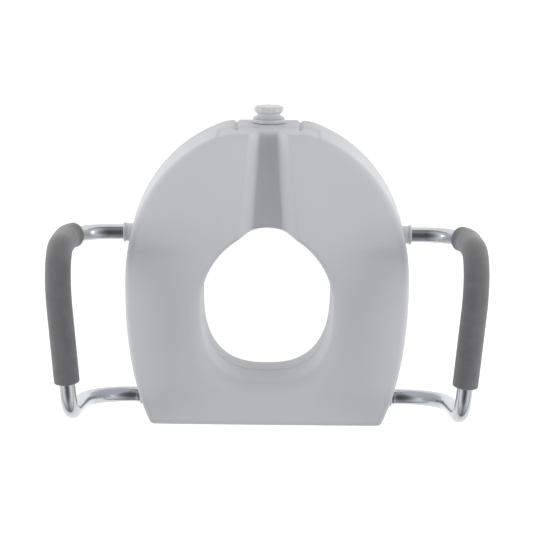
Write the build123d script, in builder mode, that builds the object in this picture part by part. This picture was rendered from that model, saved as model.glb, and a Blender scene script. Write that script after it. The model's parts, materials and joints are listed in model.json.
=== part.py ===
from build123d import *
import os
from math import sqrt

# Raised toilet seat with a front screw lock and two removable padded arms.
# Millimetres. +Z is up as the seat is used, -Y is its front, +X is the sitter's left.
# The origin is at the middle of the whole object, on the surface that the skirt stands on.

# ---- driving dimensions -------------------------------------------------
wall = 3.0                 # thickness of the blow-moulded shell
rim_plane_z = 20.0         # underside that rests on the bowl's rim
top_front_z = 144.0        # seat surface in front of the side steps
top_rear_z = 139.0         # seat surface behind them
step_front_y = -52.0       # the side steps start to fall here
step_rear_y = -8.0         # and are level again here
front_y = -202.0           # front wall at the rim plane
rear_y = 225.0             # rear wall at the rim plane
half_width = 204.5         # widest half width, at the rim plane
widest_y = 22.0            # where the outline is widest
draft = 2.0                # how far the outer wall leans in over its height
top_radius = 8.0           # rounding of the outer top edge
rear_corner_radius = 16.0

opening_y = 52.0           # widest place of the seat opening
opening_half_top = 101.5
opening_half_bottom = 93.5
opening_front_top = 111.0  # from opening_y to the opening's front, at the top
opening_front_bottom = 108.0
opening_rear = 114.0       # from opening_y to the opening's rear, at all heights
skirt_width = 13.0         # the skirt's ring, which drops into the bowl

valley_front_half = 27.0   # hygiene recess: half width at the front wall
valley_rear_half = 42.0    # and at the opening
valley_front_depth = 24.0
valley_rear_depth = 30.0

tube_radius = 11.1         # 7/8 in tube
tube_wall = 1.3
grip_radius = 17.8
running_gap = 0.1          # radial clearance of everything that slides or turns
fit_gap = 0.05             # radial gap inside pieces that are fixed together

socket_z = 83.0
front_socket_y = -46.0
rear_socket_y = 195.5
front_tube_end = 127.0     # |X| where the tubes end inside their sockets
rear_tube_end = 118.0
sleeve_radius = 13.0
flange_radius = 14.5
flange_thickness = 3.0
front_flange_x = 204.0     # |X| of the flanges' inner faces
rear_flange_x = 180.5

lock_z = 45.0              # axis of the lock's screw
boss_half = 44.0
boss_depth = 11.0
channel_half = 29.0        # lock channel in the underside
channel_top_z = 64.0
channel_rear_y = -66.0
button_x = 160.0           # |X| of the snap button in the front tube
button_radius = 3.9
button_tip_z = 67.5

os.makedirs("parts", exist_ok=True)


def save(part, label):
    """Name a finished piece and write it."""
    part.label = label
    export_step(part, f"parts/{label}.step")


# ---- seat body: one hollow blow-moulded shell ---------------------------
def outline(inset, lean):
    """The seat's outline, drawn in by inset and by the draft's lean."""
    front = front_y + inset + lean
    rear = rear_y - inset - lean
    half = half_width - inset - lean
    side = []
    for step in range(13):
        y = front + (rear - front) * (1 - (1 - step / 12) ** 1.6)
        if y < widest_y:
            across = (widest_y - y) / (232.0 - inset - lean)
            power = 2.2
        else:
            across = (y - widest_y) / (328.0 - inset - lean)
            power = 2.29
        side.append((half * sqrt(1 - across**power), y))
    mirrored = [(-x, y) for x, y in side]
    with BuildSketch() as sketch:
        with BuildLine():
            Spline(*side)
            Spline(*mirrored)
            Line(side[0], mirrored[0])
            Line(side[-1], mirrored[-1])
        make_face()
        rear_corners = sketch.vertices().sort_by(Axis.Y)[-2:]
        front_corners = sketch.vertices().sort_by(Axis.Y)[:2]
        fillet(rear_corners, rear_corner_radius - inset)
        fillet(front_corners, 2 * rear_corner_radius - inset)
    return sketch.sketch


def ring(half, front, rear):
    """An egg-shaped closed curve: pointed towards the front and full towards the rear."""
    points = []
    count = 28
    for step in range(count):
        direction = Vector(1, 0).rotate(Axis.Z, 360 * step / count)
        power, reach = (1.9, front) if direction.Y < 0 else (2.6, rear)
        across = (abs(direction.X) / half) ** power + (abs(direction.Y) / reach) ** power
        distance = across ** (-1 / power)
        points.append((distance * direction.X, opening_y + distance * direction.Y))
    with BuildSketch() as sketch:
        with BuildLine():
            Spline(*points, periodic=True)
        make_face()
    return sketch.sketch


def valley_section(half, depth, top_z, inset):
    """Cross-section of the hygiene recess: a soft-edged trough below top_z."""
    rim = half + inset
    floor = half * 0.5 + inset * 0.7
    bottom = top_z - depth - inset
    lift = top_z + 12
    with BuildSketch(Plane.XZ) as sketch:
        with BuildLine():
            Polyline((-rim, top_z), (-rim, lift), (rim, lift), (rim, top_z))
            Spline(
                (rim, top_z),
                (floor + 4, bottom + depth * 0.30),
                (floor * 0.6, bottom + 1.2),
                (0, bottom),
                (-floor * 0.6, bottom + 1.2),
                (-floor - 4, bottom + depth * 0.30),
                (-rim, top_z),
                tangents=((-1, -0.5), (-1, 0.5)),
            )
        make_face()
    return sketch.sketch


def seat_form(inset):
    """The seat's outside when inset is 0, and the hollow inside its shell when inset is the wall."""
    top = top_front_z - inset
    rear_top = top_rear_z - inset
    above = top + 6
    with BuildPart() as form:
        add(Plane.XY.offset(rim_plane_z + inset) * outline(inset, 0))
        add(Plane.XY.offset(above) * outline(inset, draft))
        loft()
        # The top, seen from the side: level, a soft slope at the side steps, and level again.
        with BuildSketch(Plane.YZ.offset(-half_width - 10)):
            with BuildLine():
                Line((front_y - 20, top), (step_front_y, top))
                Spline((step_front_y, top), (step_rear_y, rear_top), tangents=((1, 0), (1, 0)))
                Line((step_rear_y, rear_top), (rear_y + 20, rear_top))
                Polyline(
                    (rear_y + 20, rear_top),
                    (rear_y + 20, above + 10),
                    (front_y - 20, above + 10),
                    (front_y - 20, top),
                )
            make_face()
        extrude(amount=2 * half_width + 20, mode=Mode.SUBTRACT)
        rim_edges = form.edges().filter_by(
            lambda edge: edge.bounding_box().min.Z > rear_top - 1
            and abs(edge.center().X) + abs(edge.center().Y - 15) > 130
        )
        fillet(rim_edges, top_radius - inset)
        # The skirt drops into the bowl around the opening.
        skirt = skirt_width - inset
        with BuildSketch(Plane.XY.offset(inset)):
            add(ring(opening_half_bottom + skirt, opening_front_bottom + skirt, opening_rear + skirt))
        extrude(amount=rim_plane_z + 2 * wall - inset)
        # Hygiene recess from the front wall to the opening.
        front_section = valley_section(valley_front_half, valley_front_depth, top_front_z, inset)
        rear_section = valley_section(valley_rear_half, valley_rear_depth, top_front_z, inset)
        add(Location((0, front_y - 10, 0)) * front_section)
        add(Location((0, opening_y - 90, 0)) * rear_section)
        loft(mode=Mode.SUBTRACT)
        # Seat opening.
        with BuildSketch(Plane.XY.offset(-1)) as lower:
            add(
                ring(
                    opening_half_bottom + inset,
                    opening_front_bottom + inset,
                    opening_rear + inset,
                )
            )
        with BuildSketch(Plane.XY.offset(top_front_z + 1)) as upper:
            add(ring(opening_half_top + inset, opening_front_top + inset, opening_rear + inset))
        loft(sections=[lower.sketch, upper.sketch], mode=Mode.SUBTRACT)
    return form.part


def along_x(x, y, z):
    """A plane at a point, facing along +X."""
    return Plane(origin=(x, y, z), x_dir=(0, 1, 0), z_dir=(1, 0, 0))


def along_y(y, z):
    """A plane on the lock's side of the seat, facing along +Y."""
    return Plane(origin=(0, y, z), x_dir=(-1, 0, 0), z_dir=(0, 1, 0))


def x_rod(side, y, start, end, radius):
    """A solid rod along X from |X| start to end, at socket height."""
    with BuildPart() as rod:
        with BuildSketch(along_x(min(side * start, side * end), y, socket_z)):
            Circle(radius)
        extrude(amount=end - start)
    return rod.part


def block(low, high):
    """A solid box between two corners."""
    size = [b - a for a, b in zip(low, high)]
    middle = [(a + b) / 2 for a, b in zip(low, high)]
    with BuildPart() as solid:
        with Locations(tuple(middle)):
            Box(*size)
    return solid.part


sides = ((1, "left"), (-1, "right"))
sockets = (
    (front_socket_y, front_tube_end - 6, 215.0, front_flange_x),
    (rear_socket_y, rear_tube_end - 6, 205.0, rear_flange_x - 0.1),
)
hook_x = 55.0
hook_screw_y = 193.0
hook_screw_x = (hook_x - 7, hook_x + 7)
channel_front_y = front_y + boss_depth
finger_low = (140.0, front_socket_y - 17, rim_plane_z - 1)
finger_high = (180.0, front_socket_y + 17, 66.0)
channel_low = (-channel_half, channel_front_y, rim_plane_z - 1)
channel_high = (channel_half, channel_rear_y, channel_top_z)


def mirrored_corners(low, high, side):
    """A box's corners on the given side of X = 0."""
    xs = sorted((side * low[0], side * high[0]))
    return (xs[0], *low[1:]), (xs[1], *high[1:])


# The hollow stops around the sockets, the lock channel, the boss and the screw bosses.
with BuildPart() as hollow:
    add(seat_form(wall))
    add(block((-boss_half - 10, front_y - 5, 0), (boss_half + 10, channel_front_y, 112)), mode=Mode.SUBTRACT)
    grown_low = (channel_low[0] - wall, channel_low[1] - wall, 0)
    grown_high = tuple(value + wall for value in channel_high)
    add(block(grown_low, grown_high), mode=Mode.SUBTRACT)
    for side, _ in sides:
        finger_floor = (finger_low[0] - wall, finger_low[1] - wall, 0)
        finger_roof = tuple(value + wall for value in finger_high)
        add(block(*mirrored_corners(finger_floor, finger_roof, side)), mode=Mode.SUBTRACT)
        for y, start, end, _ in sockets:
            add(x_rod(side, y, start - wall, end, sleeve_radius + wall), mode=Mode.SUBTRACT)
        for x in hook_screw_x:
            with Locations((side * x, hook_screw_y, rim_plane_z + 8)):
                Cylinder(6, 20, mode=Mode.SUBTRACT)

with BuildPart() as seat_body:
    add(seat_form(0))
    add(hollow.part, mode=Mode.SUBTRACT)
    # Two V grooves frame the flat boss that carries the lock.
    for side, _ in sides:
        with BuildSketch(Plane.XY.offset(rim_plane_z - 1)):
            middle = side * (boss_half + 2.5)
            with BuildLine():
                Polyline(
                    (middle - 4, front_y - 1),
                    (middle, front_y + 4.5),
                    (middle + 4, front_y - 1),
                    close=True,
                )
            make_face()
        extrude(amount=86, mode=Mode.SUBTRACT)
    add(block(channel_low, channel_high), mode=Mode.SUBTRACT)
    with BuildSketch(along_y(front_y - 5, lock_z)):
        Circle(8 + fit_gap)
    extrude(amount=boss_depth + 6, mode=Mode.SUBTRACT)
    for side, _ in sides:
        add(block(*mirrored_corners(finger_low, finger_high, side)), mode=Mode.SUBTRACT)
        for y, start, end, spot_face in sockets:
            add(x_rod(side, y, start, end, sleeve_radius + fit_gap), mode=Mode.SUBTRACT)
            add(x_rod(side, y, spot_face, end, flange_radius + 0.4), mode=Mode.SUBTRACT)
        with Locations((side * button_x, front_socket_y, socket_z - 12)):
            Cylinder(button_radius + 0.5, 24, mode=Mode.SUBTRACT)
        for x in hook_screw_x:
            with Locations((side * x, hook_screw_y, rim_plane_z + 5)):
                Cylinder(2.0, 12, mode=Mode.SUBTRACT)
save(seat_body.part, "seat_body")


# ---- socket bushings ----------------------------------------------------
def bushing(side, y, tube_end, flange_x, label, has_button_hole):
    """Flanged sleeve that lines a socket and guides the arm tube."""
    start = min(side * tube_end, side * (flange_x + flange_thickness))
    length = flange_x + flange_thickness - tube_end
    with BuildPart() as sleeve:
        with BuildSketch(along_x(start, y, socket_z)):
            Circle(sleeve_radius)
        extrude(amount=length)
        add(x_rod(side, y, flange_x, flange_x + flange_thickness, flange_radius))
        outer_edges = sleeve.edges().group_by(Axis.X)[-1 if side > 0 else 0]
        fillet(outer_edges, 1.0)
        with BuildSketch(along_x(start - 1, y, socket_z)):
            Circle(tube_radius + running_gap)
        extrude(amount=length + 2, mode=Mode.SUBTRACT)
        if has_button_hole:
            with Locations((side * button_x, y, socket_z - 12)):
                Cylinder(button_radius + 0.3, 24, mode=Mode.SUBTRACT)
    save(sleeve.part, label)


for side, word in sides:
    bushing(side, front_socket_y, front_tube_end, front_flange_x, f"bushing_front_{word}", True)
    bushing(side, rear_socket_y, rear_tube_end, rear_flange_x, f"bushing_rear_{word}", False)


# ---- removable arms -----------------------------------------------------
lower_bend = 60.0
upper_bend = 72.0
rear_upper_bend = 34.0
rear_lower_bend = 68.0
arm_top_front = (290.0, -48.0, 264.0)
arm_top_rear = (271.0, 178.0, 255.0)
arm_low_front_x = 283.5
arm_low_rear_x = 259.0
bead_x = rear_flange_x + flange_thickness + 2.5


def arm_path(side):
    """Centre line of one bent arm tube, from its front socket round to its rear one."""
    corners = [
        (front_tube_end, front_socket_y, socket_z),
        (arm_low_front_x, front_socket_y, socket_z),
        arm_top_front,
        arm_top_rear,
        (arm_low_rear_x, rear_socket_y, socket_z),
        (rear_tube_end, rear_socket_y, socket_z),
    ]
    with BuildLine() as line:
        FilletPolyline(
            *[(side * x, y, z) for x, y, z in corners],
            radius=[lower_bend, upper_bend, rear_upper_bend, rear_lower_bend],
        )
    return line.wire()


def tube_along(path, outer, inner):
    """A hollow round tube along a path."""
    with BuildPart() as tube:
        with BuildSketch(Plane(path ^ 0)):
            Circle(outer)
            Circle(inner, mode=Mode.SUBTRACT)
        sweep(path=path)
    return tube.part


grip_start = 0.200         # share of the tube's length where the foam begins
grip_end = 0.587           # and where it ends
spring_strip = 0.6

for side, word in sides:
    path = arm_path(side)
    with BuildPart() as arm_tube:
        add(tube_along(path, tube_radius, tube_radius - tube_wall))
        with BuildSketch(along_x(side * bead_x - 1.5, rear_socket_y, socket_z)):
            Circle(tube_radius + 1)
            Circle(tube_radius - tube_wall / 2, mode=Mode.SUBTRACT)
        extrude(amount=3)
        with Locations((side * button_x, front_socket_y, socket_z - 12)):
            Cylinder(button_radius + running_gap, 24, mode=Mode.SUBTRACT)
    save(arm_tube.part, f"arm_tube_{word}")

    with BuildPart() as arm_grip:
        add(tube_along(path.trim(grip_start, grip_end), grip_radius, tube_radius + fit_gap))
        fillet(arm_grip.edges().filter_by(GeomType.CIRCLE).filter_by(
            lambda edge: abs(edge.radius - grip_radius) < 0.01 and edge.is_closed), 2.5)
    save(arm_grip.part, f"arm_grip_{word}")

    with BuildPart() as end_plugs:
        for y, end in ((front_socket_y, front_tube_end), (rear_socket_y, rear_tube_end)):
            add(x_rod(side, y, end - 1.6, end - fit_gap, tube_radius))
            add(x_rod(side, y, end - 1.0, end + 8, tube_radius - tube_wall - fit_gap))
    save(end_plugs.part, f"arm_end_plugs_{word}")

    with BuildPart() as snap_button:
        tip = Plane(origin=(side * button_x, front_socket_y, button_tip_z))
        with BuildSketch(tip):
            Circle(button_radius)
        extrude(amount=9)
        fillet(snap_button.edges().group_by(Axis.Z)[0], 1.5)
        with BuildSketch(tip.offset(7.8)):
            Circle(5.4)
        extrude(amount=1.3)
    save(snap_button.part, f"snap_button_{word}")

    with BuildPart() as snap_spring:
        with BuildSketch(Plane.XZ.offset(-front_socket_y - 3)):
            with BuildLine() as strip:
                Polyline(
                    (side * (button_x + 5), button_tip_z + 9.6),
                    (side * (button_x - 19), socket_z - 4),
                    (side * (button_x - 23), socket_z),
                    (side * (button_x - 19), socket_z + 4),
                    (side * (button_x + 5), socket_z + 8.4),
                )
            trace(line_width=spring_strip)
        extrude(amount=6)
    save(snap_spring.part, f"snap_spring_{word}")


# ---- front lock ---------------------------------------------------------
rosette_radius = 23.5
rosette_front = front_y - 6
knob_base = rosette_front - 0.4
knob_tip = -225.3
cap_back = knob_tip + 9.3
shaft_radius = 6.0
journal_radius = 4.0
journal_start = -84.0
shaft_end = -68.0
pin_y = -213.0
pin_radius = 1.5

with BuildPart() as lock_rosette:
    with BuildSketch(along_y(rosette_front, lock_z)):
        Circle(rosette_radius)
    extrude(amount=6 - fit_gap)
    fillet(lock_rosette.edges().group_by(Axis.Y)[0], 2.5)
    with BuildSketch(along_y(front_y - 1, lock_z)):
        Circle(8)
    extrude(amount=boss_depth + 1)
    with BuildSketch(along_y(rosette_front - 1, lock_z)):
        Circle(shaft_radius + running_gap)
    extrude(amount=boss_depth + 9, mode=Mode.SUBTRACT)
save(lock_rosette.part, "lock_rosette")

with BuildPart() as lock_knob:
    with BuildSketch(Plane(origin=(0, 0, lock_z), x_dir=(1, 0, 0), z_dir=(0, 0, 1))):
        with BuildLine():
            Polyline((0, knob_tip), (18, knob_tip))
            ThreePointArc((18, knob_tip), (21.3, knob_tip + 2.2), (21.6, knob_tip + 5))
            Polyline((21.6, knob_tip + 5), (20.4, cap_back), (16.6, cap_back + 1.6))
            ThreePointArc((16.6, cap_back + 1.6), (16.9, cap_back + 4.4), (20, knob_base - 2.4))
            Polyline((20, knob_base - 2.4), (22.6, knob_base - 1.4), (22.6, knob_base), (0, knob_base))
            Line((0, knob_base), (0, knob_tip))
        make_face()
    revolve(axis=Axis((0, 0, lock_z), (0, 1, 0)))
    # Finger scallops round the cap.
    with BuildSketch(along_y(knob_tip - 1, lock_z)):
        with PolarLocations(24.6, 12, start_angle=15):
            Circle(4.2)
    extrude(amount=9.5, mode=Mode.SUBTRACT)
    with BuildSketch(along_y(knob_tip + 7, lock_z)):
        Circle(shaft_radius + fit_gap)
    extrude(amount=20, mode=Mode.SUBTRACT)
    with BuildSketch(along_x(-17, pin_y, lock_z)):
        Circle(pin_radius + fit_gap)
    extrude(amount=34, mode=Mode.SUBTRACT)
save(lock_knob.part, "lock_knob")

groove_front = channel_front_y + 1.9
with BuildPart() as worm_screw:
    with BuildSketch(along_y(knob_tip + 7.2, lock_z)):
        Circle(shaft_radius)
    extrude(amount=journal_start - knob_tip - 7.2)
    with BuildSketch(along_y(journal_start, lock_z)):
        Circle(journal_radius)
    extrude(amount=shaft_end - journal_start)
    chamfer(worm_screw.edges().group_by(Axis.Y)[-1], 0.8)
    with BuildSketch(along_y(groove_front, lock_z)):
        Circle(shaft_radius + 1)
        Circle(shaft_radius - 1, mode=Mode.SUBTRACT)
    extrude(amount=1.4, mode=Mode.SUBTRACT)
    with BuildSketch(along_x(-17, pin_y, lock_z)):
        Circle(pin_radius + fit_gap)
    extrude(amount=34, mode=Mode.SUBTRACT)
save(worm_screw.part, "worm_screw")

with BuildPart() as knob_pin:
    with BuildSketch(along_x(-15.5, pin_y, lock_z)):
        Circle(pin_radius)
    extrude(amount=31)
save(knob_pin.part, "knob_pin")

with BuildPart() as thrust_washer:
    with BuildSketch(along_y(channel_front_y + running_gap, lock_z)):
        Circle(11)
        Circle(shaft_radius + fit_gap, mode=Mode.SUBTRACT)
    extrude(amount=1.6)
save(thrust_washer.part, "thrust_washer")

with BuildPart() as retaining_clip:
    with BuildSketch(along_y(groove_front + 0.1, lock_z)):
        Circle(9.5)
        Circle(shaft_radius - 1 + fit_gap, mode=Mode.SUBTRACT)
        with Locations((0, 8)):
            Rectangle(7, 12, mode=Mode.SUBTRACT)
    extrude(amount=1.2)
save(retaining_clip.part, "retaining_clip")

with BuildPart() as tail_bearing:
    add(block((-channel_half + fit_gap, -78, 34), (channel_half - fit_gap, channel_rear_y - fit_gap, 58)))
    chamfer(tail_bearing.edges().filter_by(Axis.Y), 3)
    with BuildSketch(along_y(-79, lock_z)):
        Circle(journal_radius + running_gap)
    extrude(amount=14, mode=Mode.SUBTRACT)
save(tail_bearing.part, "tail_bearing")

# ---- clamp that the screw drives ----------------------------------------
carriage_front = -118.0
carriage_rear = -92.0
plate_thickness = 4.0
plate_foot_z = 4.0
plate_top_z = 60.0
plate_screw_x = 17.0
plate_screw_heights = (36.0, 45.0, 54.0)

with BuildPart() as clamp_carriage:
    add(block((-channel_half + 0.5, carriage_front, 33), (channel_half - 0.5, carriage_rear - fit_gap, 59)))
    fillet(clamp_carriage.edges().filter_by(Axis.Y), 3)
    with BuildSketch(along_y(carriage_front - 1, lock_z)):
        Circle(shaft_radius + running_gap)
    extrude(amount=30, mode=Mode.SUBTRACT)
    with BuildSketch(along_y(carriage_rear - 14, lock_z)):
        with Locations((-plate_screw_x, 0), (plate_screw_x, 0)):
            Circle(2.0)
    extrude(amount=20, mode=Mode.SUBTRACT)
save(clamp_carriage.part, "clamp_carriage")

with BuildPart() as locking_plate:
    foot = block((-24, carriage_rear - 16, plate_foot_z), (24, carriage_rear + plate_thickness, plate_foot_z + 4))
    add(block((-24, carriage_rear, plate_foot_z), (24, carriage_rear + plate_thickness, plate_top_z)))
    add(foot)
    fillet(locking_plate.edges().filter_by(Axis.Y).group_by(Axis.Z)[-1], 6)
    with BuildSketch(along_y(carriage_rear - 1, lock_z)):
        SlotCenterToCenter(18, 2 * shaft_radius + 3, rotation=90)
    extrude(amount=plate_thickness + 2, mode=Mode.SUBTRACT)
    for height in plate_screw_heights:
        with Locations(along_y(carriage_rear + plate_thickness, height)):
            with Locations((-plate_screw_x, 0), (plate_screw_x, 0)):
                CounterSinkHole(2.1, 4.1, depth=plate_thickness)
save(locking_plate.part, "locking_plate")

with BuildPart() as plate_screws:
    for x in (-plate_screw_x, plate_screw_x):
        with BuildSketch(Plane(origin=(x, 0, lock_z), x_dir=(1, 0, 0), z_dir=(0, 0, 1))):
            with BuildLine():
                Polyline(
                    (0, carriage_rear + plate_thickness),
                    (3.9, carriage_rear + plate_thickness),
                    (1.95, carriage_rear + plate_thickness - 2),
                    (1.95, carriage_rear - 12),
                    (0, carriage_rear - 13.5),
                    close=True,
                )
            make_face()
        revolve(axis=Axis((x, 0, lock_z), (0, 1, 0)))
save(plate_screws.part, "plate_screws")

with BuildPart() as clamp_pad:
    add(block((-20, carriage_rear - 3 - fit_gap, 10), (20, carriage_rear - fit_gap, 20)))
    fillet(clamp_pad.edges().filter_by(Axis.Y), 2)
save(clamp_pad.part, "clamp_pad")

# ---- underside: rear hooks, their screws and the non-slip pads ----------
hook_width = 30.0
hook_front = 183.0
for side, word in sides:
    with BuildPart() as rear_hook:
        with BuildSketch(along_x(side * hook_x - hook_width / 2, 0, 0)):
            with BuildLine():
                Polyline(
                    (hook_front, 3),
                    (hook_front + 15, 3),
                    (hook_front + 15, 6),
                    (hook_front + 3.5, 6.5),
                    (hook_front + 3.5, rim_plane_z - 3.5),
                    (hook_front + 20, rim_plane_z - 3),
                    (hook_front + 20, rim_plane_z - fit_gap),
                    (hook_front, rim_plane_z - fit_gap),
                    close=True,
                )
            make_face()
        extrude(amount=hook_width)
        with Locations([(side * x, hook_screw_y, 10) for x in hook_screw_x]):
            Cylinder(2.1, 30, mode=Mode.SUBTRACT)
    save(rear_hook.part, f"rear_hook_{word}")

with BuildPart() as hook_screws:
    for side, _ in sides:
        for x in hook_screw_x:
            with BuildSketch(Plane(origin=(side * x, hook_screw_y, 0), x_dir=(1, 0, 0), z_dir=(0, -1, 0))):
                with BuildLine():
                    Polyline(
                        (0, rim_plane_z - 6),
                        (3.6, rim_plane_z - 6),
                        (3.6, rim_plane_z - 3.6),
                        (1.95, rim_plane_z - 3.6),
                        (1.95, rim_plane_z + 9),
                        (0, rim_plane_z + 10.5),
                        close=True,
                    )
                make_face()
            revolve(axis=Axis((side * x, hook_screw_y, 0), (0, 0, 1)))
save(hook_screws.part, "hook_screws")

pad_height = 3.0
with BuildPart() as base_pads:
    with BuildSketch(Plane.XY.offset(rim_plane_z - pad_height)):
        for side, _ in sides:
            with Locations((side * 150, 45)):
                RectangleRounded(26, 46, 7)
            with Locations((side * 118, 172)):
                RectangleRounded(40, 24, 7)
    extrude(amount=pad_height - fit_gap)
save(base_pads.part, "base_pads")
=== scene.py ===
import json
from math import cos, pi, radians, sin

import bmesh
import bpy
import numpy as np
from mathutils import Matrix, Vector


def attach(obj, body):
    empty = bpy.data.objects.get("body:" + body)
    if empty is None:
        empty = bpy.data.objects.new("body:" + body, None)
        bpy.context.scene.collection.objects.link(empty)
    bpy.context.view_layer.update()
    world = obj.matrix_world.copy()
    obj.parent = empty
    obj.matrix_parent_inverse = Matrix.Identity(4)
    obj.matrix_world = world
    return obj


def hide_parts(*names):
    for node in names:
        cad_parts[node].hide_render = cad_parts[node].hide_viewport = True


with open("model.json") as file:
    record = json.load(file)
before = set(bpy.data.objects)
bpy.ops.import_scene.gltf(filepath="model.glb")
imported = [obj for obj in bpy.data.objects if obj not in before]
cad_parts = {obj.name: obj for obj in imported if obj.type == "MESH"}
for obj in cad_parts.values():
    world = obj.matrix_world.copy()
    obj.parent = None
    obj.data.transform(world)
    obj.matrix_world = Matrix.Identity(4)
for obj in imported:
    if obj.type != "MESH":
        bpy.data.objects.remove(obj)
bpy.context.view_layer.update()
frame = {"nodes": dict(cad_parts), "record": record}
MM = 0.001

# ---- dimensions shared with the solids, in metres ------------------------
RIM_PLANE = 20 * MM          # underside that rests on the bowl
TOP_FRONT = 144 * MM         # seat surface in front of the side steps
TOP_REAR = 139 * MM          # and behind them
FRONT = -202 * MM
REAR = 227 * MM
HALF_WIDTH = 204.5 * MM
WIDEST_Y = 22 * MM
FRONT_REACH, FRONT_POWER = 232 * MM, 2.2     # how the outline rounds off ahead of its widest line
REAR_REACH, REAR_POWER = 328 * MM, 2.29      # and behind it
DRAFT = 2 * MM
OPENING_Y = 52 * MM          # centre that every ring of the seat body is drawn around
OPENING_FRONT_POWER, OPENING_REAR_POWER = 1.9, 2.6
SKIRT_WIDTH = 13 * MM
SKIRT_ROUND = 3 * MM         # rounding of the skirt's lower edge
PARTING_Z = 52 * MM          # height of the mould's parting line inside the opening
NOTCH_X = 46.5 * MM          # grooves beside the lock's boss
SOCKET_Z = 83 * MM
FRONT_SOCKET_Y = -46 * MM
REAR_SOCKET_Y = 195.5 * MM
LOCK_Z = 45 * MM
SOCKET_BORE = 13.05 * MM     # bore that a bushing's sleeve sits in
SPOT_FACE = 14.9 * MM        # shallow seat for a bushing's flange
BUTTON_X = 160 * MM          # snap buttons, in the ceilings of the finger pockets
POCKET_HALF_X, POCKET_HALF_Y = 20 * MM, 17 * MM
CHANNEL_HALF = 29 * MM       # channel that the clamp slides in
CHANNEL_REAR = -66 * MM
TUBE_RADIUS = 11.1 * MM
TUBE_WALL = 1.3 * MM
TUBE_REAR_END = 118 * MM     # where the rear end of a tube lies inside its socket
BEAD_X = 186 * MM            # bead that stops the tube at the rear bushing
GRIP_RADIUS = 17.8 * MM
SIDES = ((1, "left"), (-1, "right"))


# ---- materials -----------------------------------------------------------
def new_material(name):
    """An empty node material with its shader and output, ready for detail."""
    material = bpy.data.materials.new(name)
    material.use_nodes = True
    nodes = material.node_tree.nodes
    return material, nodes, material.node_tree.links, nodes["Principled BSDF"]


def noise(nodes, links, coords, scale, detail, rough=0.5):
    """A noise texture on the object's own coordinates."""
    texture = nodes.new("ShaderNodeTexNoise")
    texture.inputs["Scale"].default_value = scale
    texture.inputs["Detail"].default_value = detail
    texture.inputs["Roughness"].default_value = rough
    links.new(coords, texture.inputs["Vector"])
    return texture.outputs["Fac"]


def between(nodes, links, factor, low, high):
    """Maps a 0 to 1 factor to a range of numbers."""
    node = nodes.new("ShaderNodeMapRange")
    node.inputs["To Min"].default_value = low
    node.inputs["To Max"].default_value = high
    links.new(factor, node.inputs["Value"])
    return node.outputs["Result"]


def tint(nodes, links, factor, dark, light):
    """A colour that drifts between two near tones."""
    ramp = nodes.new("ShaderNodeValToRGB")
    ramp.color_ramp.elements[0].color = (*dark, 1)
    ramp.color_ramp.elements[0].position = 0.3
    ramp.color_ramp.elements[1].color = (*light, 1)
    ramp.color_ramp.elements[1].position = 0.7
    links.new(factor, ramp.inputs["Fac"])
    return ramp.outputs["Color"]


def bump(nodes, links, height, strength, distance, below=None):
    """A bump from a height, stacked on another bump if one is given."""
    node = nodes.new("ShaderNodeBump")
    node.inputs["Strength"].default_value = strength
    node.inputs["Distance"].default_value = distance
    links.new(height, node.inputs["Height"])
    if below is not None:
        links.new(below, node.inputs["Normal"])
    return node.outputs["Normal"]


def plastic(name, dark, light, rough, grain_scale=900.0, grain=0.12, gloss=0.5):
    """Moulded plastic: near-even colour, fine surface grain and a slow waviness."""
    material, nodes, links, shader = new_material(name)
    coords = nodes.new("ShaderNodeTexCoord").outputs["Object"]
    slow = noise(nodes, links, coords, 9.0, 3.0)
    fine = noise(nodes, links, coords, grain_scale, 2.0)
    links.new(tint(nodes, links, slow, dark, light), shader.inputs["Base Color"])
    blotch = noise(nodes, links, coords, 55.0, 5.0)
    links.new(between(nodes, links, blotch, *rough), shader.inputs["Roughness"])
    waves = bump(nodes, links, noise(nodes, links, coords, 22.0, 2.0), 0.1, 0.0006)
    links.new(bump(nodes, links, fine, grain, 0.0002, waves), shader.inputs["Normal"])
    shader.inputs["IOR"].default_value = 1.5
    shader.inputs["Specular IOR Level"].default_value = gloss
    return material


def foam_material():
    """Closed-cell grip foam: matt grey skin with small pores and soft mottling."""
    material, nodes, links, shader = new_material("grip_foam")
    coords = nodes.new("ShaderNodeTexCoord").outputs["Object"]
    mottling = noise(nodes, links, coords, 60.0, 5.0)
    grey = tint(nodes, links, mottling, (0.112, 0.112, 0.114), (0.140, 0.140, 0.143))
    links.new(grey, shader.inputs["Base Color"])
    cells = nodes.new("ShaderNodeTexVoronoi")
    cells.inputs["Scale"].default_value = 1500.0
    links.new(coords, cells.inputs["Vector"])
    links.new(between(nodes, links, mottling, 0.72, 0.9), shader.inputs["Roughness"])
    soft = bump(nodes, links, noise(nodes, links, coords, 130.0, 3.0), 0.25, 0.0005)
    links.new(bump(nodes, links, cells.outputs["Distance"], 0.35, 0.00025, soft), shader.inputs["Normal"])
    shader.inputs["Sheen Weight"].default_value = 0.35
    shader.inputs["Sheen Roughness"].default_value = 0.5
    return material


def metal(name, dark, light, rough):
    """Bare or plated metal with a fine satin grain and faint clouding."""
    material, nodes, links, shader = new_material(name)
    coords = nodes.new("ShaderNodeTexCoord").outputs["Object"]
    grain = noise(nodes, links, coords, 350.0, 3.0, 0.6)
    cloud = noise(nodes, links, coords, 35.0, 4.0)
    links.new(tint(nodes, links, cloud, dark, light), shader.inputs["Base Color"])
    links.new(between(nodes, links, grain, *rough), shader.inputs["Roughness"])
    links.new(bump(nodes, links, grain, 0.06, 0.0001), shader.inputs["Normal"])
    shader.inputs["Metallic"].default_value = 1.0
    return material


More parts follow.
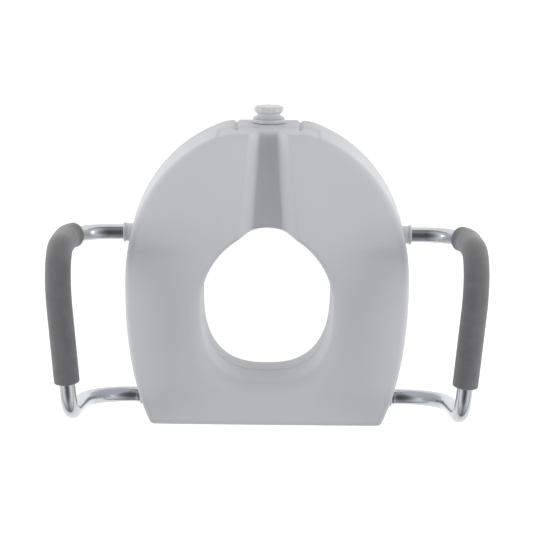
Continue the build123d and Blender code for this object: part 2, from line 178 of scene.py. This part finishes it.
MATERIALS = {
    "moulded_white": plastic(
        "moulded_white", (0.565, 0.572, 0.588), (0.595, 0.60, 0.61), (0.42, 0.54), gloss=0.12
    ),
    "white_fittings": plastic(
        "white_fittings", (0.70, 0.70, 0.70), (0.74, 0.74, 0.74), (0.25, 0.34), 700.0, 0.05
    ),
    "lock_white": plastic(
        "lock_white", (0.56, 0.56, 0.57), (0.60, 0.60, 0.61), (0.28, 0.38), 700.0, 0.05
    ),
    "aluminium_tube": metal("aluminium_tube", (0.50, 0.515, 0.54), (0.58, 0.595, 0.62), (0.14, 0.24)),
    "grey_foam": foam_material(),
    "black_rubber": plastic(
        "black_rubber", (0.022, 0.022, 0.022), (0.035, 0.035, 0.035), (0.6, 0.8), 600.0, 0.3
    ),
    "zinc_steel": metal("zinc_steel", (0.55, 0.56, 0.57), (0.66, 0.67, 0.68), (0.25, 0.4)),
    "spring_steel": metal("spring_steel", (0.38, 0.39, 0.41), (0.48, 0.49, 0.52), (0.22, 0.35)),
    "grey_plastic": plastic("grey_plastic", (0.38, 0.39, 0.40), (0.45, 0.46, 0.47), (0.4, 0.55)),
}


def finish_piece(piece, body, slot, node):
    """Material, smooth shading, body and slot of a new piece, and the node it stands for."""
    piece.data.materials.clear()
    piece.data.materials.append(MATERIALS[slot])
    piece.data.shade_smooth()
    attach(piece, body)
    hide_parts(node)


def mesh_object(name, points, faces):
    """A new object from points and faces."""
    mesh = bpy.data.meshes.new(name)
    mesh.from_pydata([tuple(map(float, point)) for point in points], [], faces)
    mesh.validate()
    piece = bpy.data.objects.new(name, mesh)
    bpy.context.scene.collection.objects.link(piece)
    return piece


def grid_faces(rows, columns, close_rows=True):
    """Quads over a grid of points whose columns close into rings, and whose rows may too."""
    faces = []
    for row in range(rows if close_rows else rows - 1):
        after = (row + 1) % rows
        for column in range(columns):
            beside = (column + 1) % columns
            near, far = row * columns, after * columns
            faces.append((near + column, near + beside, far + beside, far + column))
    return faces


# ---- seat body -----------------------------------------------------------
def smooth(value):
    """Eased step from 0 to 1."""
    value = np.clip(value, 0, 1)
    return value * value * (3 - 2 * value)


def soft_min(a, b, width):
    """The smaller of two numbers, with the corner between them rounded."""
    share = np.clip(0.5 + (b - a) / (2 * width), 0, 1)
    return b + (a - b) * share - width * share * (1 - share)


def body_angles(count):
    """Directions round the opening, closer together at the front recess, grooves and rear corners."""
    fine = np.linspace(-pi, pi, 7201)
    front, corner = -pi / 2, np.arctan2(REAR - OPENING_Y, 160 * MM)
    crowd = 1 + 3.2 * np.exp(-(((fine - front) / radians(13)) ** 2))
    for place in (corner, pi - corner):
        crowd += 1.5 * np.exp(-(((fine - place) / radians(8)) ** 2))
    total = np.cumsum(crowd)
    total = (total - total[0]) / (total[-1] - total[0])
    return np.interp(np.arange(count) / count, total, fine)


def outline_reach(angles, inset):
    """Distance from the opening's centre to the seat's outline, moved inwards by inset."""
    y = np.linspace(FRONT - 7.9 * MM, REAR + 60 * MM, 4000)
    across = np.where(y < WIDEST_Y, (WIDEST_Y - y) / FRONT_REACH, (y - WIDEST_Y) / REAR_REACH)
    power = np.where(y < WIDEST_Y, FRONT_POWER, REAR_POWER)
    half = HALF_WIDTH * np.sqrt(np.clip(1 - across**power, 0, 1))
    direction = np.arctan2(y - OPENING_Y, half)
    distance = np.hypot(half, y - OPENING_Y)
    facing = 1 / np.hypot(1, np.gradient(distance, direction) / distance)
    folded = np.arcsin(np.sin(angles))
    reach = np.interp(folded, direction, distance) - inset / np.interp(folded, direction, facing)
    up = np.sin(angles)
    front = np.where(up < -0.2, (FRONT + inset - OPENING_Y) / np.minimum(up, -0.2), 1.0)
    rear = np.where(up > 0.2, (REAR - inset - OPENING_Y) / np.maximum(up, 0.2), 1.0)
    return soft_min(soft_min(reach, front, 4 * MM), rear, 6 * MM)


def ring_reach(angles, half, front, rear):
    """Distance from the centre to an egg-shaped ring, as the opening is in the solids."""
    x, y = np.abs(np.cos(angles)), np.sin(angles)
    power = np.where(y < 0, OPENING_FRONT_POWER, OPENING_REAR_POWER)
    reach = np.where(y < 0, front, rear)
    return ((x / half) ** power + (np.abs(y) / reach) ** power) ** (-1 / power)


def inward_normals(points):
    """Unit normals of a closed plan curve that runs anticlockwise, pointing inwards."""
    along = np.roll(points, -1, axis=0) - np.roll(points, 1, axis=0)
    normal = np.stack([-along[:, 1], along[:, 0]], axis=1)
    return normal / np.linalg.norm(normal, axis=1)[:, None]


def seat_height(x, y):
    """The seat surface: side steps, a faint dish to the rear and the hygiene recess at the front."""
    outer = smooth((np.abs(x) - 85 * MM) / (115 * MM))
    gentle = smooth((y + 60 * MM) / (90 * MM))
    steep = smooth((y + 43 * MM) / (27 * MM))
    height = TOP_FRONT - (TOP_FRONT - TOP_REAR) * (gentle * (1 - outer) + steep * outer)
    height = height - 5.0 * MM * outer * steep * (1 - smooth((y + 19 * MM) / (55 * MM)))
    along = np.clip((y - FRONT) / (-58 * MM - FRONT), 0, 1)
    rim = (29 + 15 * along) * MM
    floor = (11 + 9 * along) * MM
    depth = (24 + 6 * along) * MM
    wall = smooth((rim - np.abs(x)) / (rim - floor))
    return height - depth * wall * smooth((10 * MM - y) / (60 * MM))


def arc(count):
    """Angles of a quarter turn, ends included."""
    return np.linspace(0, pi / 2, count)


def seat_rings(angles):
    """Every ring of the seat body's surface, from the underside, over the top and down the opening."""
    direction = np.stack([np.cos(angles), np.sin(angles)], axis=1)
    centre = np.array([0, OPENING_Y])

    def outline(inset):
        return centre + direction * outline_reach(angles, inset)[:, None]

    base = outline(0)
    frontness = smooth((-np.sin(angles) - 0.15) / 0.75)
    rearness = smooth((np.sin(angles) - 0.2) / 0.7)
    crest_round = (16 - 9 * frontness + 9 * rearness) * MM
    top_round = (12 - 2 * frontness - 2 * rearness) * MM
    low = ring_reach(angles, 93.5 * MM, 108 * MM, 114 * MM)
    high = ring_reach(angles, 95 * MM, 111 * MM, 114.5 * MM)
    inner_low = centre + direction * low[:, None]
    inner_high = centre + direction * high[:, None]
    outward = -inward_normals(inner_high)
    rings = []

    def put(plan, z):
        z = np.broadcast_to(z, angles.shape)
        rings.append(np.column_stack([plan, z]))

    # The boss that carries the lock stands a little proud of the front wall, between its two grooves.
    on_front = base[:, 1] < FRONT + 6 * MM
    notch = np.clip(1 - np.abs(np.abs(base[:, 0]) - NOTCH_X) / (4 * MM), 0, 1) * 4.5 * MM * on_front

    def wall_inset(z):
        lean = DRAFT * (1 - rearness) * (z - RIM_PLANE) / (TOP_FRONT - RIM_PLANE)
        recess = 1.8 * MM * on_front * smooth((z - 80 * MM) / (3 * MM))
        groove = notch * (1 - smooth((z - 98 * MM) / (8 * MM)))
        return lean + recess + groove

    skirt_out = centre + direction * (low + SKIRT_WIDTH)[:, None]
    bottom_inset = wall_inset(RIM_PLANE)
    hem = 2 * MM
    inner_hem = outline(bottom_inset + hem)
    for share in np.linspace(0, 1, 9)[1:]:
        put(skirt_out + (inner_hem - skirt_out) * share, RIM_PLANE)
    for turn in arc(4)[1:]:
        put(outline(bottom_inset + hem * (1 - sin(turn))), RIM_PLANE + hem * (1 - cos(turn)))
    shoulder = seat_height(base[:, 0], base[:, 1]) - top_round
    for share in np.linspace(0, 1, 31)[1:]:
        z = RIM_PLANE + hem + (shoulder - RIM_PLANE - hem) * share
        put(outline(wall_inset(z)), z)
    top_inset = wall_inset(shoulder)
    for turn in arc(12)[1:]:
        plan = outline(top_inset + top_round * (1 - cos(turn)))
        put(plan, seat_height(plan[:, 0], plan[:, 1]) - top_round * (1 - sin(turn)))
    outer_edge = rings[-1][:, :2]
    crest = inner_high + outward * crest_round[:, None]
    for share in np.linspace(0, 1, 56)[1:]:
        plan = outer_edge + (crest - outer_edge) * share
        put(plan, seat_height(plan[:, 0], plan[:, 1]))
    for turn in arc(12)[1:]:
        plan = inner_high + outward * (crest_round * (1 - sin(turn)))[:, None]
        put(plan, seat_height(plan[:, 0], plan[:, 1]) - crest_round * (1 - cos(turn)))
    wall_top = rings[-1][:, 2]
    seam_half = 0.9 * MM
    down_to_seam = np.linspace(0, 1, 13)[1:-1]
    upper = [wall_top + (PARTING_Z + seam_half - wall_top) * share for share in down_to_seam]
    heights = [np.full_like(angles, PARTING_Z + step * MM) for step in (0.9, 0.35, 0, -0.35, -0.9)]
    down_to_skirt = np.linspace(0, 1, 8)[1:] * (PARTING_Z - 4 * MM)
    lower = [np.full_like(angles, PARTING_Z - seam_half - drop) for drop in down_to_skirt]
    for z in upper + heights + lower:
        share = ((z - SKIRT_ROUND) / (wall_top - SKIRT_ROUND))[:, None]
        seam = 0.7 * MM * np.exp(-(((z - PARTING_Z) / (0.4 * MM)) ** 2))
        put(inner_low + (inner_high - inner_low) * share + outward * seam[:, None], z)
    for turn in arc(5)[1:]:
        plan = inner_low + direction * (SKIRT_ROUND * (1 - cos(turn)))
        put(plan, SKIRT_ROUND * (1 - sin(turn)))
    put(inner_low + direction * SKIRT_WIDTH / 2, 0)
    for turn in arc(5):
        put(skirt_out - direction * (SKIRT_ROUND * (1 - sin(turn))), SKIRT_ROUND * (1 - cos(turn)))
    for share in (0.35, 0.7, 1.0):
        put(skirt_out, SKIRT_ROUND + (RIM_PLANE - SKIRT_ROUND) * share)
    return rings


def cutter(name, build):
    """A hidden solid that cuts the seat body and is then removed."""
    mesh = bmesh.new()
    build(mesh)
    data = bpy.data.meshes.new(name)
    mesh.to_mesh(data)
    mesh.free()
    piece = bpy.data.objects.new(name, data)
    bpy.context.scene.collection.objects.link(piece)
    return piece


def rod_cutter(name, start, end, radius):
    """A cylinder from start to end."""
    start, end = Vector(start), Vector(end)
    axis = end - start

    def build(mesh):
        turn = axis.to_track_quat("Z", "Y").to_matrix().to_4x4()
        place = Matrix.Translation((start + end) / 2) @ turn
        bmesh.ops.create_cone(
            mesh, cap_ends=True, segments=64, radius1=radius, radius2=radius,
            depth=axis.length, matrix=place,
        )

    return cutter(name, build)


def box_cutter(name, low, high, radius):
    """A box with rounded upright edges."""

    def build(mesh):
        size = Vector(high) - Vector(low)
        place = Matrix.Translation((Vector(low) + Vector(high)) / 2) @ Matrix.Diagonal((*size, 1))
        bmesh.ops.create_cube(mesh, size=1, matrix=place)
        upright = [e for e in mesh.edges if abs((e.verts[0].co - e.verts[1].co).normalized().z) > 0.9]
        bmesh.ops.bevel(mesh, geom=upright, offset=radius, segments=5, affect="EDGES", profile=0.5)

    return cutter(name, build)


def cut(piece, cutters):
    """Cuts each cutter out of the piece, once and for all."""
    for tool in cutters:
        modifier = piece.modifiers.new("cut", "BOOLEAN")
        modifier.operation = "DIFFERENCE"
        modifier.solver = "EXACT"
        modifier.object = tool
    bpy.context.view_layer.update()
    evaluated = piece.evaluated_get(bpy.context.evaluated_depsgraph_get())
    mesh = bpy.data.meshes.new_from_object(evaluated)
    piece.modifiers.clear()
    piece.data = mesh
    for tool in cutters:
        bpy.data.objects.remove(tool)


def seat_body():
    """The hollow-moulded seat: one closed surface with its sockets, pockets and channel cut in."""
    angles = body_angles(520)
    rings = seat_rings(angles)
    piece = mesh_object("seat_shell", np.concatenate(rings), grid_faces(len(rings), len(angles)))
    mesh = bmesh.new()
    mesh.from_mesh(piece.data)
    bmesh.ops.recalc_face_normals(mesh, faces=mesh.faces)
    mesh.to_mesh(piece.data)
    mesh.free()
    below = RIM_PLANE - 1 * MM
    outside = 215 * MM
    channel_low = (-CHANNEL_HALF, FRONT + 11 * MM, below)
    tools = [
        box_cutter("channel", channel_low, (CHANNEL_HALF, CHANNEL_REAR, 64 * MM), 4 * MM),
        rod_cutter("boss_bore", (0, FRONT - 5 * MM, LOCK_Z), (0, FRONT + 14 * MM, LOCK_Z), 8.05 * MM),
    ]
    for side, _ in SIDES:
        for y, start, spot in ((FRONT_SOCKET_Y, 121, 204), (REAR_SOCKET_Y, 112, 180.4)):
            end = (side * outside, y, SOCKET_Z)
            tools.append(rod_cutter("well", (side * start * MM, y, SOCKET_Z), end, SOCKET_BORE))
            tools.append(rod_cutter("spot_face", (side * spot * MM, y, SOCKET_Z), end, SPOT_FACE))
        x, y = side * BUTTON_X, FRONT_SOCKET_Y
        pocket_low = (x - POCKET_HALF_X, y - POCKET_HALF_Y, below)
        pocket_high = (x + POCKET_HALF_X, y + POCKET_HALF_Y, 66 * MM)
        tools.append(box_cutter("finger", pocket_low, pocket_high, 5 * MM))
        tools.append(rod_cutter("button_hole", (x, y, 60 * MM), (x, y, 82 * MM), 4.4 * MM))
    cut(piece, tools)
    finish_piece(piece, "root", "moulded_white", "seat_body")


def turned_knob():
    """The lock's hand knob: a lobed cap, a waist and a flared foot, turned about the screw's axis."""
    profile = [
        (-225.3, 0.0), (-225.3, 17.0), (-225.1, 19.0), (-224.3, 20.4), (-223.0, 21.0), (-218.6, 21.0),
        (-217.4, 20.5), (-216.4, 19.2), (-215.6, 17.6), (-214.6, 16.7), (-213.2, 16.6), (-212.0, 17.4),
        (-211.0, 19.4), (-210.2, 21.4), (-209.4, 22.4), (-208.8, 22.5), (-208.4, 22.0), (-208.4, 8.2),
    ]
    turns = np.linspace(0, 2 * pi, 144, endpoint=False)
    rings = []
    for y, radius in profile:
        lobes = 0.45 * np.cos(12 * turns) * smooth((radius - 16) / 4) * (y < -214)
        reach = (radius + lobes) * MM
        x, z = reach * np.cos(turns), LOCK_Z + reach * np.sin(turns)
        rings.append(np.column_stack([x, np.full_like(turns, y * MM), z]))
    knob = mesh_object("turned_knob", np.concatenate(rings), grid_faces(len(rings), len(turns), False))
    finish_piece(knob, "lock_screw", "lock_white", "lock_knob")


# ---- arms ----------------------------------------------------------------
def arm_corners(side):
    """Corners of an arm's centre line, from the front socket round to the rear one."""
    corners = [
        (127, -46, 83),
        (283.5, -46, 83),
        (290, -48, 264),
        (271, 178, 255),
        (259, 195.5, 83),
        (118, 195.5, 83),
    ]
    return [Vector((side * x, y, z)) * MM for x, y, z in corners]


ARM_BENDS = [60 * MM, 72 * MM, 34 * MM, 68 * MM]
GRIP_START, GRIP_END = 0.200, 0.587      # shares of the tube's length


def bent_line(corners, radii, step):
    """Evenly spaced points along straight runs joined by tangent arcs."""
    points = [corners[0]]
    for index, radius in enumerate(radii, 1):
        corner = corners[index]
        back = (corners[index - 1] - corner).normalized()
        ahead = (corners[index + 1] - corner).normalized()
        half_turn = (pi - back.angle(ahead)) / 2
        reach = radius * np.tan(half_turn)
        start, centre_way = corner + back * reach, (back + ahead).normalized()
        centre = corner + centre_way * (radius / cos(half_turn))
        axis = (start - centre).cross(corner + ahead * reach - centre).normalized()
        count = max(4, int(2 * half_turn * radius / step))
        for part in range(count + 1):
            turn = Matrix.Rotation(2 * half_turn * part / count, 3, axis)
            points.append(centre + turn @ (start - centre))
    points.append(corners[-1])
    raw = np.array([tuple(point) for point in points])
    lengths = np.concatenate([[0], np.cumsum(np.linalg.norm(np.diff(raw, axis=0), axis=1))])
    places = np.linspace(0, lengths[-1], int(lengths[-1] / step) + 1)
    return np.stack([np.interp(places, lengths, raw[:, axis]) for axis in range(3)], axis=1), places


def frames_along(line):
    """Two unit vectors across the line at each point, carried along it without twist."""
    tangent = np.gradient(line, axis=0)
    tangent /= np.linalg.norm(tangent, axis=1)[:, None]
    across = np.cross(tangent[0], (0.0, 0.3, 1.0))
    sides = []
    for direction in tangent:
        across = across - direction * np.dot(across, direction)
        across /= np.linalg.norm(across)
        sides.append((across.copy(), np.cross(direction, across)))
    return sides


def tube_mesh(name, line, radii, bore, segments):
    """A tube of varying radius along a line, with an even bore and ring-shaped ends."""
    sides = frames_along(line)
    turns = np.linspace(0, 2 * pi, segments, endpoint=False)[:, None]
    outside = list(zip(line, sides, radii))
    inside = [(point, side, bore) for point, side, _ in reversed(outside)]
    rings = [
        point + radius * (np.cos(turns) * u + np.sin(turns) * v)
        for point, (u, v), radius in outside + inside
    ]
    return mesh_object(name, np.concatenate(rings), grid_faces(len(rings), segments))


def arm(side, word):
    """One arm's bent tube and its foam grip."""
    line, places = bent_line(arm_corners(side), ARM_BENDS, 2 * MM)
    body = f"arm_{word}"
    bead = places[-1] - (BEAD_X - TUBE_REAR_END)
    swell = 1.0 * MM * np.exp(-(((places - bead) / (1.6 * MM)) ** 2))
    tube = tube_mesh(f"tube_{word}", line, TUBE_RADIUS + swell, TUBE_RADIUS - TUBE_WALL, 56)
    finish_piece(tube, body, "aluminium_tube", f"arm_tube_{word}")
    start, end = GRIP_START * places[-1], GRIP_END * places[-1]
    fine = np.linspace(start, end, 240)
    grip_line = np.stack([np.interp(fine, places, line[:, axis]) for axis in range(3)], axis=1)
    edge = np.minimum(fine - start, end - fine)
    end_round = 3 * MM
    roll = np.sqrt(np.clip(1 - (1 - np.clip(edge / end_round, 0, 1)) ** 2, 0, 1))
    radii = GRIP_RADIUS - end_round * (1 - roll)
    grip = tube_mesh(f"grip_{word}", grip_line, radii, TUBE_RADIUS + 0.02 * MM, 72)
    finish_piece(grip, body, "grey_foam", f"arm_grip_{word}")


# ---- build ---------------------------------------------------------------
slots = {entry["node"]: entry["material_slot"] for entry in frame["record"]["subparts"]}
for node, piece in frame["nodes"].items():
    material = MATERIALS[slots[node]]
    if piece.material_slots:
        for place in piece.material_slots:
            place.material = material
    else:
        piece.data.materials.append(material)

seat_body()
turned_knob()
for side, word in SIDES:
    arm(side, word)


# ---- stage, light and camera --------------------------------------------
def stage_floor():
    """A plain white floor that glows a little, as a lit studio sweep does."""
    mesh = bmesh.new()
    bmesh.ops.create_grid(mesh, x_segments=2, y_segments=2, size=6.0)
    data = bpy.data.meshes.new("floor")
    mesh.to_mesh(data)
    mesh.free()
    floor = bpy.data.objects.new("floor", data)
    bpy.context.scene.collection.objects.link(floor)
    floor.location.z = -0.0005
    material, nodes, links, shader = new_material("studio_floor")
    shader.inputs["Base Color"].default_value = (0.3, 0.3, 0.3, 1)
    shader.inputs["Roughness"].default_value = 0.9
    shader.inputs["Emission Color"].default_value = (1, 1, 1, 1)
    shader.inputs["Emission Strength"].default_value = 0.9
    data.materials.append(material)


def area_light(name, place, target, size, power):
    """A soft rectangular light aimed at a point."""
    light = bpy.data.lights.new(name, "AREA")
    light.shape = "RECTANGLE"
    light.size, light.size_y = size
    light.energy = power
    lamp = bpy.data.objects.new(name, light)
    bpy.context.scene.collection.objects.link(lamp)
    lamp.location = place
    lamp.rotation_euler = (Vector(target) - Vector(place)).to_track_quat("-Z", "Y").to_euler()


def world_light():
    """A soft surround, brightest on both sides and dim overhead."""
    world = bpy.data.worlds.new("studio")
    bpy.context.scene.world = world
    world.use_nodes = True
    nodes, links = world.node_tree.nodes, world.node_tree.links
    background = nodes["Background"]
    coords = nodes.new("ShaderNodeTexCoord")
    split = nodes.new("ShaderNodeSeparateXYZ")
    links.new(coords.outputs["Generated"], split.inputs["Vector"])
    ramp = nodes.new("ShaderNodeValToRGB")
    stops = ((0.0, 0.26), (0.22, 0.56), (0.62, 0.74), (0.93, 0.22))
    while len(ramp.color_ramp.elements) < len(stops):
        ramp.color_ramp.elements.new(0.5)
    for element, (place, level) in zip(ramp.color_ramp.elements, stops):
        element.position = place
        element.color = (level * 0.99, level, level * 1.02, 1)
    links.new(split.outputs["Z"], ramp.inputs["Fac"])
    links.new(ramp.outputs["Color"], background.inputs["Color"])
    sideways = nodes.new("ShaderNodeMath")
    sideways.operation = "ABSOLUTE"
    links.new(split.outputs["X"], sideways.inputs[0])
    facing = nodes.new("ShaderNodeMapRange")
    facing.inputs["From Max"].default_value = 0.8
    facing.inputs["To Min"].default_value = 0.40
    facing.inputs["To Max"].default_value = 1.55
    links.new(sideways.outputs["Value"], facing.inputs["Value"])
    links.new(facing.outputs["Result"], background.inputs["Strength"])


def camera():
    """The camera looks down on the seat from a little in front, with the seat's front at the top."""
    tilt, distance = radians(12.0), 3.2
    target = Vector((1.1 * MM, 3 * MM, SOCKET_Z))
    data = bpy.data.cameras.new("camera")
    data.lens = 149.6
    data.sensor_width = 36
    data.clip_end = 50
    lens = bpy.data.objects.new("camera", data)
    bpy.context.scene.collection.objects.link(lens)
    back = Vector((0, -sin(tilt), cos(tilt)))
    up = Vector((0, -cos(tilt), -sin(tilt)))
    right = up.cross(back)
    turn = Matrix((right, up, back)).transposed()
    roll = Matrix.Rotation(radians(0.6), 3, back)
    lens.matrix_world = Matrix.Translation(target + back * distance) @ (roll @ turn).to_4x4()
    bpy.context.scene.camera = lens


stage_floor()
world_light()
area_light("left_soft", (1.5, -0.2, 1.0), (0, -0.1, 0.1), (0.9, 0.7), 11)
area_light("right_soft", (-1.5, -0.2, 1.0), (0, -0.1, 0.1), (0.9, 0.7), 12)
camera()
bpy.context.scene.view_settings.view_transform = "Standard"
